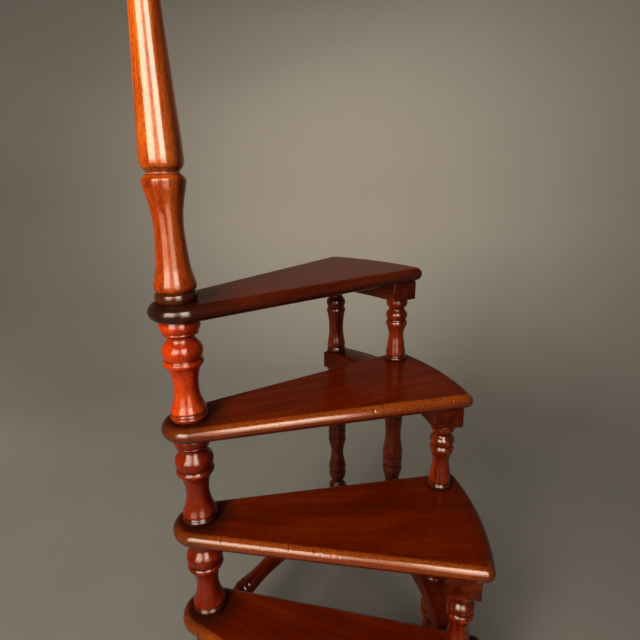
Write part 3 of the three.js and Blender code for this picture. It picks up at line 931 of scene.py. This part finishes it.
POST_STROKES = REAR_HEAD + [
    [(64.5, 40.8), (78, 39.6), (92, 38), (104, 35.8), (116, 35), (132, 36.4), (140, 38.4), (152, 41.4),
     (160, 44.2), (165, 44.9), (170, 44.4), (173, 43)],
    [(173, 43), (174.2, 41.6), (175.4, 42.4)],
    [(175.4, 42.4), (179, 44.2), (184.5, 44.9), (190, 44.4), (195.5, 42.8)],
    [(195.5, 42.8), (197, 41.4), (198.6, 42.2)],
    [(198.6, 42.2), (203, 44.2), (207.5, 44.8), (212, 43.8), (218, 41), (224, 38), (232, 34.6),
     (244, 31.6), (258, 33.4), (266, 36), (274, 39.6), (282, 43.4), (288, 44.8), (293, 44.2), (296.5, 42)],
    [(296.5, 42), (298, 40.6), (299.5, 41.4)],
    [(299.5, 41.4), (304, 43.6), (310, 44.5), (315, 43.2), (320, 40.4), (325, 35), (329, 30.4),
     (332, 29.2), (335.5, 31.4), (340, 37), (345, 43), (349, 44.7), (355, 44.8), (360, 43.6), (362, 41.6)],
]
POINTS = [len(outline(strokes)) for strokes in (BALUSTER_STROKES, REAR_STROKES, POST_STROKES)]
print("points in the column outlines:", POINTS)

# %% [markdown]
# ## Setting out the columns
#
# Each set of columns needs the same few facts: the column that it starts at, the turn and the climb
# from one to the next, and the two heights that it fits between. Legs stand on the floor and have a
# flat foot. The others have a tenon at both ends, as a turner leaves them for gluing. Old polish
# gathers in the hollows, and painted shade darkens the neck and the ball under each head, so each
# outline also has a list of dark bands: from, to, and how dark.

# %% Columns
COLUMN_FACETS = 48


def column_set(
    name, strokes, stains_and_shade, count, first_column, turn, bottom, top, climb, nodes, wood=BALUSTER_WOOD,
    on_floor=False,
):
    foot = () if on_floor else tenon_foot(bottom)
    rows = turned_rows(strokes, top, bottom, stains_and_shade, head=tenon_head(top), foot=foot)
    lowered = [(height - bottom, radius, tone) for height, radius, tone in rows]
    piece = turned_piece(
        name, lowered, COLUMN_FACETS, wood, Count=count, First_Angle=column_angle(first_column), Turn=turn,
        Foot_Height=bottom, Climb=climb, Ring=RING,
    )
    hand_over(piece, "steps", nodes)


# The neck and the ball's top under each head are painted shade over old polish; the grooves and foot rings
# hold old polish.
SHORT_STAINS_AND_SHADE = [(15, 25, -0.5), (25, 34, -0.3), (43, 47, -0.85), (124.4, 128, -0.9), (128, 136, -0.65)]
REAR_HEAD_STAINS_AND_SHADE = [(15, 26, -0.5), (26, 38, -0.35), (46.4, 50.4, -0.85)]
REAR_STAINS_AND_SHADE = REAR_HEAD_STAINS_AND_SHADE + [(147.4, 151.4, -0.9), (151.4, 162, -0.65)]
POST_STAINS_AND_SHADE = REAR_HEAD_STAINS_AND_SHADE + [
    (172.6, 176, -0.8), (195, 199.2, -0.8), (296, 300, -0.7), (324, 362, -0.45),
]
ON_BASE = rail_top(1) + GAP
column_set("front_balusters", BALUSTER_STROKES, SHORT_STAINS_AND_SHADE, 3, 2, TURN, tread_top(1) + GAP,
           rail_bottom(2) - GAP, RISE, ["front_baluster_2", "front_baluster_3", "front_baluster_4"])
column_set("legs", BALUSTER_STROKES, SHORT_STAINS_AND_SHADE, 3, 1, 2 * TURN, 0.0,
           rail_bottom(1) - GAP, 0.0, ["leg_1", "leg_3", "leg_5"], on_floor=True)
column_set("rear_turnings", REAR_STROKES, REAR_STAINS_AND_SHADE, 2, 3, 2 * TURN, ON_BASE,
           rail_bottom(2) - GAP, 2 * RISE, ["short_post_3", "rear_baluster"])
column_set("long_posts", POST_STROKES, POST_STAINS_AND_SHADE, 2, 4, TURN, ON_BASE,
           rail_bottom(3) - GAP, 0.0, ["long_post_4", "long_post_5"], SHADED_POST_WOOD)

# %% [markdown]
# ## The stretcher
#
# One turned rail lies flat from the newel to the rear column and keeps the two apart. It is turned on
# the same lathe tree, standing up, and is then laid along its line. Its outline is the same from both
# ends, so half of it is written down and mirrored.

# %% Stretcher
HALF_STRETCHER = [
    [(0, 25), (10, 28.6), (25, 32), (40, 34.4), (47, 35.8)],
    [(47, 35.8), (49.5, 39), (52.7, 39.9), (56, 39), (58, 36.2)],
    [(58, 36.2), (59.2, 34.8), (60.4, 35.6)],
    [(60.4, 35.6), (63, 37.8), (68, 37.2), (80, 34.4), (95, 32.2), (110.7, 31.4), (130, 32.4),
     (150, 34.6), (165, 36.8), (172, 38)],
    [(172, 38), (173.5, 35.8), (175, 36.2)],
    [(175, 36.2), (177.5, 39), (180.5, 39.9), (184, 38.8), (186, 36.4)],
    [(186, 36.4), (188, 39.4), (192, 41.2), (197.4, 41.8)],
]
STRETCHER_SPAN = 2 * HALF_STRETCHER[-1][-1][0]
STRETCHER_STAINS = [(57.6, 60.8, -0.6), (171.6, 175.4, -0.6)]
INNER_END = 0.033 + GAP
OUTER_END = 0.42795
INNER_TENON = 0.022
OUTER_TENON = 0.015


def mirrored(stroke):
    return [(STRETCHER_SPAN - distance, width) for distance, width in reversed(stroke)]


middle = HALF_STRETCHER[-1]
full = HALF_STRETCHER[:-1] + [middle + mirrored(middle[:-1])]
full += [mirrored(stroke) for stroke in reversed(HALF_STRETCHER[:-1])]
stretcher = turned_piece("stretcher_turning", turned_rows(
    full, OUTER_END, INNER_END, STRETCHER_STAINS, head=tenon_head(OUTER_END, length=OUTER_TENON),
    foot=tenon_foot(INNER_END, length=INNER_TENON),
), COLUMN_FACETS, BALUSTER_WOOD)
stretcher.data.transform(STRETCHER_LAY)
hand_over(stretcher, "steps", ["stretcher"])

# %% [markdown]
# ## The bearers and rails
#
# Under each tread's outer end lies a curved bar. Two are short bearers between two columns. The upper
# rail runs on to the rear column, and the base rail runs right round the foot. Each starts as a
# straight bar with eased edges, and a small tree bends it round the newel's axis. Sockets take the
# columns' tenons, and from below stepped bores take the screws that hold the tread down.


# %% Bending tree
def bending_tree():
    tree, given, result = new_tree("Bending", [("Ring", "Float")])
    place = add_node(tree, "GeometryNodeInputPosition").outputs["Position"]
    along, across, height = split_vector(tree, place)
    angle = calculate(tree, "DIVIDE", along, given["Ring"])
    bent = on_circle(tree, calculate(tree, "SUBTRACT", given["Ring"], across), angle, height)
    fill(tree, result, shape_from(
        tree, "GeometryNodeSetPosition", Geometry=given["Geometry"], Position=bent
    ))
    return tree


BENDING = bending_tree()
print("bending tree:", len(BENDING.nodes), "nodes")

# %% [markdown]
# ## Cutting the bearers and rails
#
# A bar can only bend smoothly if it has enough cuts along its length, so it is sliced every few
# millimetres first. Its corners and faces are then sorted by place, because the tools that ease and
# slice it don't always leave them in the same order. Each bore is a row of heights and radii, as a
# drill with steps would leave it. The screw's bore is wide at the bottom for the head, and then narrow
# for the shank, up into the tread.

# %% Bearers and rails
EASE = 0.0012
EASE_PARTS = 3
SLICE = 0.006
SORTING = Vector((1, 0.01, 0.0001))
UPRIGHT = Matrix.Identity(4)
SCREW_SHANK = 0.0022 + GAP
SCREW_HEAD = 0.0046 + GAP
SCREW_SINK = 0.007
SCREW_HEAD_HEIGHT = 0.003
SCREW_BITE = 0.014
SCREW_APART = math.radians(5.6)


def straight_bar(name, start, end, low, high):
    bar = bmesh.new()
    size = Vector((end - start, RAIL_WIDTH, high - low))
    middle = Vector(((start + end) / 2, 0, (low + high) / 2))
    bmesh.ops.create_cube(bar, size=1.0, matrix=Matrix.Translation(middle) @ Matrix.Diagonal((*size, 1)))
    bmesh.ops.bevel(bar, geom=bar.edges[:], offset=EASE, segments=EASE_PARTS, profile=0.5, affect="EDGES")
    cuts = int((end - start - 2 * EASE) / SLICE)
    for cut in range(1, cuts):
        place = start + EASE + (end - start - 2 * EASE) * cut / cuts
        parts = bar.verts[:] + bar.edges[:] + bar.faces[:]
        bmesh.ops.bisect_plane(bar, geom=parts, plane_co=(place, 0, 0), plane_no=(1, 0, 0))
    bmesh.ops.recalc_face_normals(bar, faces=bar.faces[:])
    bar.verts.sort(key=lambda vert: vert.co.dot(SORTING))
    bar.edges.sort(key=lambda edge: (edge.verts[0].co + edge.verts[1].co).dot(SORTING))
    bar.faces.sort(key=lambda face: face.calc_center_median().dot(SORTING))
    return object_from(name, bar)


def on_ring(angle, rows):
    return (RING * math.cos(angle), RING * math.sin(angle), rows, UPRIGHT)


def plain_bore(angle, low, high, radius=TENON + GAP):
    return on_ring(angle, [(low, radius), (high, radius)])


def screw_angles(step):
    middle = (column_angle(step) + column_angle(step + 1)) / 2
    return (middle - SCREW_APART, middle + SCREW_APART)


def screw_bore(step, angle):
    bottom = rail_bottom(step)
    return on_ring(angle, [
        (bottom - OVERRUN, SCREW_HEAD), (bottom + SCREW_SINK - SCREW_HEAD_HEIGHT, SCREW_HEAD),
        (bottom + SCREW_SINK + GAP, SCREW_SHANK), (rail_top(step) + GAP + SCREW_BITE + GAP, SCREW_SHANK),
    ])


def socket_above(column, surface):
    return plain_bore(column_angle(column), surface - OVERRUN, surface + TENON_LENGTH + GAP)


def socket_below(column, surface):
    return plain_bore(column_angle(column), surface - TENON_LENGTH - GAP, surface + OVERRUN)


def rail(name, step, last, hanging, standing, node):
    start = column_angle(step) * RING - RAIL_FRONT
    end = column_angle(last) * RING + RAIL_REAR
    low, high = rail_bottom(step), rail_top(step)
    piece = straight_bar(name, start, end, low, high)
    add_tree(piece, BENDING, Ring=RING)
    holes = [socket_above(column, low) for column in hanging]
    holes += [socket_below(column, high) for column in standing]
    holes += [screw_bore(step, angle) for angle in screw_angles(step)]
    if step == 1:
        holes.append(STRETCHER_BORE)
    tool = bore(piece, holes)
    add_tree(piece, BENT_FINISH, Material=RAIL_WOOD, Corner=SHARPEST_TURNED)
    hand_over(settle(piece, tool), "steps", [node])


rail("base_rail_bent", 1, 5, (1, 3, 5), (3, 4, 5), "base_rail")
rail("bearer_low_bent", 2, 3, (2, 3), (), "bearer_2")
rail("upper_rail_bent", 3, 5, (3, 4, 5), (5,), "upper_rail")
rail("bearer_top_bent", 4, 5, (4, 5), (), "bearer_4")

# %% [markdown]
# ## The treads
#
# A tread is a thick wedge of mahogany. Its narrow end is a round nose that wraps the newel, its wide
# end follows a circle, and the whole edge is worked to a full half round. It is drawn as one outline,
# then stacked in rows that step in and up round the half round. The front edge is cut finely, because
# that is where shoes have rubbed the colour off and left a few small nicks.


# %% Tread outline
INSIDE_CAD = 0.0002
NOSE_INSIDE_CAD = 0.0003
NOSE_PARTS, CORNER_PARTS, OUTER_PARTS = 40, 10, 48
FRONT_PARTS, REAR_PARTS = 380, 90
EDGE_PARTS = 12
FLAT_MARGIN = 0.0014


def tread_outline(inset):
    nose = Vector(TREAD_NOSE_PLACE)
    reach = TREAD_REACH - INSIDE_CAD

    def arc(centre, radius, start, end, parts):
        angles = [start + (end - start) * part / parts for part in range(parts + 1)]
        return [centre + radius * Vector((math.cos(angle), math.sin(angle))) for angle in angles]

    def straight(start, end, parts):
        return [start.lerp(end, part / parts) for part in range(1, parts)]

    def corner(side):
        along = Vector((math.cos(TREAD_MIDDLE), side * math.sin(TREAD_MIDDLE)))
        inward = Vector((math.sin(TREAD_MIDDLE), -side * math.cos(TREAD_MIDDLE)))
        start = nose + inward * (TREAD_CORNER_RADIUS - TREAD_NOSE_RADIUS)
        far = reach - TREAD_CORNER_RADIUS
        onto = start.dot(along)
        return start + along * (math.sqrt(onto * onto - start.length_squared + far * far) - onto)

    front, rear = corner(-1), corner(1)
    front_angle, rear_angle = math.atan2(front.y, front.x), math.atan2(rear.y, rear.x)
    quarter = math.pi / 2
    rear_side, front_side = quarter + TREAD_MIDDLE, 3 * quarter - TREAD_MIDDLE
    nose_radius = TREAD_NOSE_RADIUS - NOSE_INSIDE_CAD - inset
    nose_arc = arc(nose, nose_radius, rear_side, front_side, NOSE_PARTS)
    round_corner = TREAD_CORNER_RADIUS - inset
    front_arc = arc(front, round_corner, -quarter - TREAD_MIDDLE, front_angle, CORNER_PARTS)
    outer_arc = arc(Vector((0, 0)), reach - inset, front_angle, rear_angle, OUTER_PARTS)
    rear_arc = arc(rear, round_corner, rear_angle, rear_side, CORNER_PARTS)
    return (
        nose_arc + straight(nose_arc[-1], front_arc[0], FRONT_PARTS) + front_arc[:-1] + outer_arc
        + rear_arc[1:] + straight(rear_arc[-1], nose_arc[0], REAR_PARTS)
    )


print("tread outline:", len(tread_outline(0.0)), "points")

# %% [markdown]
# ## Wear and painted shade on the front edge
#
# Shoes rub the colour off where they land: on the front edge, most on its upper half, and not on the
# flat top, which keeps its polish. Under the edge, painted shade darkens the wood, where the half round
# turns down away from the light. Both go into the tone of each point of the half round, because the
# finish then blends them without a seam.

# %% Tread blank
WEAR_START = 0.02
WEAR_FADE = 0.03
UNDER_SHADE = 0.55
UNDER_SHARE = 0.45
FULL_WEAR_SHARE = 0.9
SHOULDER_WEAR = 0.35


def edge_tone(point, height, inset, edge, wear):
    outward = -point.y * math.cos(TREAD_MIDDLE) - point.x * math.sin(TREAD_MIDDLE)
    front = max(0.0, outward - WEAR_START) / WEAR_FADE
    upward = max(0.0, min(1.0, (height + TREAD_THICKNESS) / TREAD_THICKNESS))
    # Painted shade under the half round, strongest at the underside.
    shade = UNDER_SHADE * max(0.0, 1.0 - upward / UNDER_SHARE)
    rubbed = SHOULDER_WEAR if inset < edge else 0.0
    if inset < edge * FULL_WEAR_SHARE:
        rubbed = 1.0
    return wear * min(1.0, front) * upward * rubbed - shade


def tread_blank(name, wear):
    edge = TREAD_THICKNESS / 2
    rows = [(edge + FLAT_MARGIN, -TREAD_THICKNESS)]
    for part in range(-EDGE_PARTS, EDGE_PARTS + 1):
        angle = math.pi / 2 * part / EDGE_PARTS
        rows.append((edge * (1 - math.cos(angle)), edge * (math.sin(angle) - 1)))
    rows.append((edge + FLAT_MARGIN, 0.0))
    board = bmesh.new()
    tone = board.verts.layers.float.new("tone")
    rings = []
    for inset, height in rows:
        ring = []
        for point in tread_outline(inset):
            vert = board.verts.new((point.x, point.y, height))
            vert[tone] = edge_tone(point, height, inset, edge, wear)
            ring.append(vert)
        rings.append(ring)
    skin(board, rings)
    return object_from(name, board)


print("rows from the underside to the top of a tread:", 2 * EDGE_PARTS + 3)

# %% [markdown]
# ## Nicks, and the treads themselves
#
# A few small nicks stay in the front edges of the second and third treads. Each is pressed into the
# mesh after the copies are made, so that only its own tread has it: its tread, its distance from the
# newel's axis and its depth below the top are listed. One wall of a nick is painted dark as shade, and
# the other pale, as raw wood with painted light on it. The top tread has its own wood, because it
# kept more of its polish.

# %% Treads
STANDING_ANGLE = column_angle(2) - TREAD_MIDDLE
SHARPEST_TREAD = math.radians(40)
NICKS = [
    (2, 0.0578, 0.0025), (2, 0.0916, 0.0037), (2, 0.1288, 0.0045), (2, 0.1749, 0.0026),
    (2, 0.2168, 0.0024), (2, 0.2286, 0.0038), (2, 0.2470, 0.0050), (2, 0.2580, 0.0058),
    (3, 0.1447, 0.0069), (3, 0.3083, 0.0055), (3, 0.3262, 0.0020), (3, 0.4546, 0.0055),
]
NICK_WIDTH = 0.0014
NICK_LENGTH = 0.0032
NICK_DEPTH = 0.0008
NICK_LEAN = 0.6
NICK_DARK, NICK_PALE = -0.7, 0.95
NICK_BELOW_TOP = 0.0003


def cut_nicks(piece):
    mesh = piece.data
    tone = mesh.attributes["tone"].data
    for number, (step, distance, depth) in enumerate(NICKS):
        turn = (step - 1) * TURN
        along = Vector((math.cos(turn), math.sin(turn), 0))
        outward = Vector((math.sin(turn), -math.cos(turn), 0))
        height = tread_top(step) - depth
        lean = NICK_LEAN * math.sin(5.0 * number)
        for vert in mesh.vertices:
            up = vert.co.z - height
            away = vert.co.dot(along) - distance + lean * up
            share = math.hypot(away / NICK_WIDTH, up / NICK_LENGTH)
            below_top = vert.co.z < tread_top(step) - NICK_BELOW_TOP
            if share < 1 and below_top and vert.co.dot(outward) > WEAR_START:
                vert.co -= vert.normal * NICK_DEPTH * (1 - share)
                # The dark wall is painted shade; the pale wall is raw wood with painted light.
                tone[vert.index].value = NICK_DARK if away < 0.0001 else NICK_PALE


def treads(name, first, count, carries_baluster, wood, wear):
    piece = tread_blank(name, wear)
    spigot_rows = [(-TREAD_THICKNESS - OVERRUN, SPIGOT + GAP), (OVERRUN, SPIGOT + GAP)]
    holes = [(0, 0, spigot_rows, UPRIGHT)]
    if carries_baluster:
        holes.append(plain_bore(STANDING_ANGLE, -TENON_LENGTH - GAP, OVERRUN))
    bite = -TREAD_THICKNESS + SCREW_BITE + GAP
    for angle in screw_angles(1):
        holes.append(plain_bore(angle - TREAD_MIDDLE, -TREAD_THICKNESS - OVERRUN, bite, SCREW_SHANK))
    tool = bore(piece, holes)
    add_tree(piece, BOARD_FINISH, Material=wood, Corner=SHARPEST_TREAD)
    add_tree(
        piece, WINDING, Count=count, First_Angle=TREAD_MIDDLE + (first - 1) * TURN, Turn=TURN,
        Foot_Height=tread_top(first), Climb=RISE, Ring=0.0, Material=wood,
    )
    piece = settle(piece, tool)
    cut_nicks(piece)
    hand_over(piece, "steps", [f"tread_{step}" for step in range(first, first + count)])


treads("treads_lower", 1, STEPS - 1, carries_baluster=True, wood=TREAD_WOOD, wear=0.45)
treads("tread_top", STEPS, 1, carries_baluster=False, wood=TOP_TREAD_WOOD, wear=0.0)

# %% [markdown]
# ## The studio
#
# The steps stand on a plain painted floor that sweeps up into a plain round wall, so that every side
# can be looked at without a seam. The sweep is turned on the same lathe tree as the balusters, and its
# faces are flipped to look inwards. A pool of light is painted on the wall behind the steps, and
# painted shade dims the top, as a wall looks when only its middle is lit.

# %% Floor and wall
PAINT = ((0.3, (0.190, 0.180, 0.160)), (0.7, (0.215, 0.203, 0.180)))
PAINTED_LIGHT_COLOUR = (0.50, 0.466, 0.408)
PAINTED_LIGHT_PLACE = (-0.90, 2.28, 0.85)
PAINTED_SHADE_COLOUR = (0.05, 0.046, 0.040)
WALL_RADIUS = 2.5
WALL_HEIGHT = 4.5
SWEEP = 0.9
SWEEP_PARTS = 24
PIN_HOLE = 0.001
STUDIO_FACETS = 96


def studio_paint():
    material, tree, shader = new_material("studio_paint")
    place = add_node(tree, "ShaderNodeTexCoord").outputs["Object"]
    cloud = add_node(tree, "ShaderNodeTexNoise", Vector=place, Scale=1.6, Detail=3.0, Roughness=0.5)
    colour = colour_ramp(tree, cloud.outputs["Fac"], *PAINT)
    away = add_node(tree, "ShaderNodeVectorMath", {"operation": "DISTANCE"}, place, PAINTED_LIGHT_PLACE)
    # Painted pool of light on the wall behind the steps.
    pale = between(tree, away.outputs["Value"], 0.2, 2.2, 0.95, 0.0, smooth=True)
    colour = mix(tree, pale, colour, opaque(PAINTED_LIGHT_COLOUR))
    # Painted shade towards the top of the wall.
    dim = between(tree, split_vector(tree, place)[2], 1.85, 2.5, 0.0, 0.9, smooth=True)
    fill(tree, shader, Base_Color=mix(tree, dim, colour, opaque(PAINTED_SHADE_COLOUR)), Roughness=0.65)
    return material


sweep_rows = [(0.0, PIN_HOLE, 0.0), (0.0, WALL_RADIUS - SWEEP, 0.0)]
for part in range(1, SWEEP_PARTS + 1):
    angle = math.pi / 2 * part / SWEEP_PARTS
    sweep_rows.append((SWEEP * (1 - math.cos(angle)), WALL_RADIUS - SWEEP + SWEEP * math.sin(angle), 0.0))
sweep_rows.append((WALL_HEIGHT, WALL_RADIUS, 0.0))
studio = turned_piece("studio_sweep", sweep_rows, STUDIO_FACETS, studio_paint())
studio.data.flip_normals()
print("studio wall radius", WALL_RADIUS, "m")

# %% [markdown]
# ## The lights
#
# One soft daylight panel stands to the left of the camera and gives the wood its shading, and three
# weak ones at the side, above and behind fill the shadows. The polish mirrors its own set of panels: a
# tall one on each side of the camera, each with a dimmer lower part, and a dim one between them. They
# make the twin highlights that run down every turning. Keeping the two sets apart lets the highlights
# stand where the photograph has them, without lighting the wood too much.

# %% Lights
DAYLIGHT = (1.0, 0.93, 0.84)
WARM = (1.0, 0.84, 0.64)
POLE_FOOT = (0.0, 0.0, 1.15)
ROOM_COLOUR = (1.0, 0.98, 0.95)
ROOM_STRENGTH = 0.035
PANELS = [
    ("key_left", (0.188, -1.790, 1.68), POLE_FOOT, 0.60, 1.35, 50.0),
    ("side_fill", (-2.05, -0.30, 0.90), (0.15, 0.15, 0.75), 1.0, 1.2, 13.0),
    ("room_light", (0.1, 0.1, 3.2), (0.1, 0.1, 0.0), 1.2, 1.2, 14.0),
    ("back_fill", (-1.15, 1.30, 2.35), (0.2, 0.2, 0.6), 0.9, 0.9, 8.0),
]
MIRRORED_PANELS = [
    ("shine_left", (0.170, -1.792, 1.66), POLE_FOOT, 1.20, 1.35, 96.0),
    ("shine_left_low", (0.170, -1.792, 0.71), (0, 0, 0.71), 1.20, 0.54, 12.0),
    ("shine_right", (1.044, -0.627, 1.53), POLE_FOOT, 0.60, 1.05, 43.0),
    ("shine_right_low", (1.044, -0.627, 0.73), (0, 0, 0.73), 0.60, 0.55, 7.5),
    ("shine_middle", (0.860, -1.229, 1.55), POLE_FOOT, 0.50, 1.30, 9.0),
]


def soft_light(name, place, target, width, height, watts, gloss_only):
    data = bpy.data.lights.new(name, "AREA")
    data.shape = "RECTANGLE"
    data.size, data.size_y = width, height
    data.energy = watts
    data.color = WARM if gloss_only else DAYLIGHT
    data.cycles.use_multiple_importance_sampling = gloss_only
    light = bpy.data.objects.new(name, data)
    light.location = place
    light.rotation_euler = (Vector(target) - Vector(place)).to_track_quat("-Z", "Y").to_euler()
    light.visible_camera = False
    light.visible_diffuse = not gloss_only
    light.visible_glossy = gloss_only
    bpy.context.scene.collection.objects.link(light)


for panel in PANELS:
    soft_light(*panel, gloss_only=False)
for panel in MIRRORED_PANELS:
    soft_light(*panel, gloss_only=True)
world = bpy.data.worlds.new("fill")
world.use_nodes = True
fill(world.node_tree, world.node_tree.nodes["Background"], opaque(ROOM_COLOUR), ROOM_STRENGTH)
bpy.context.scene.world = world
bpy.context.scene.view_settings.view_transform = "Standard"
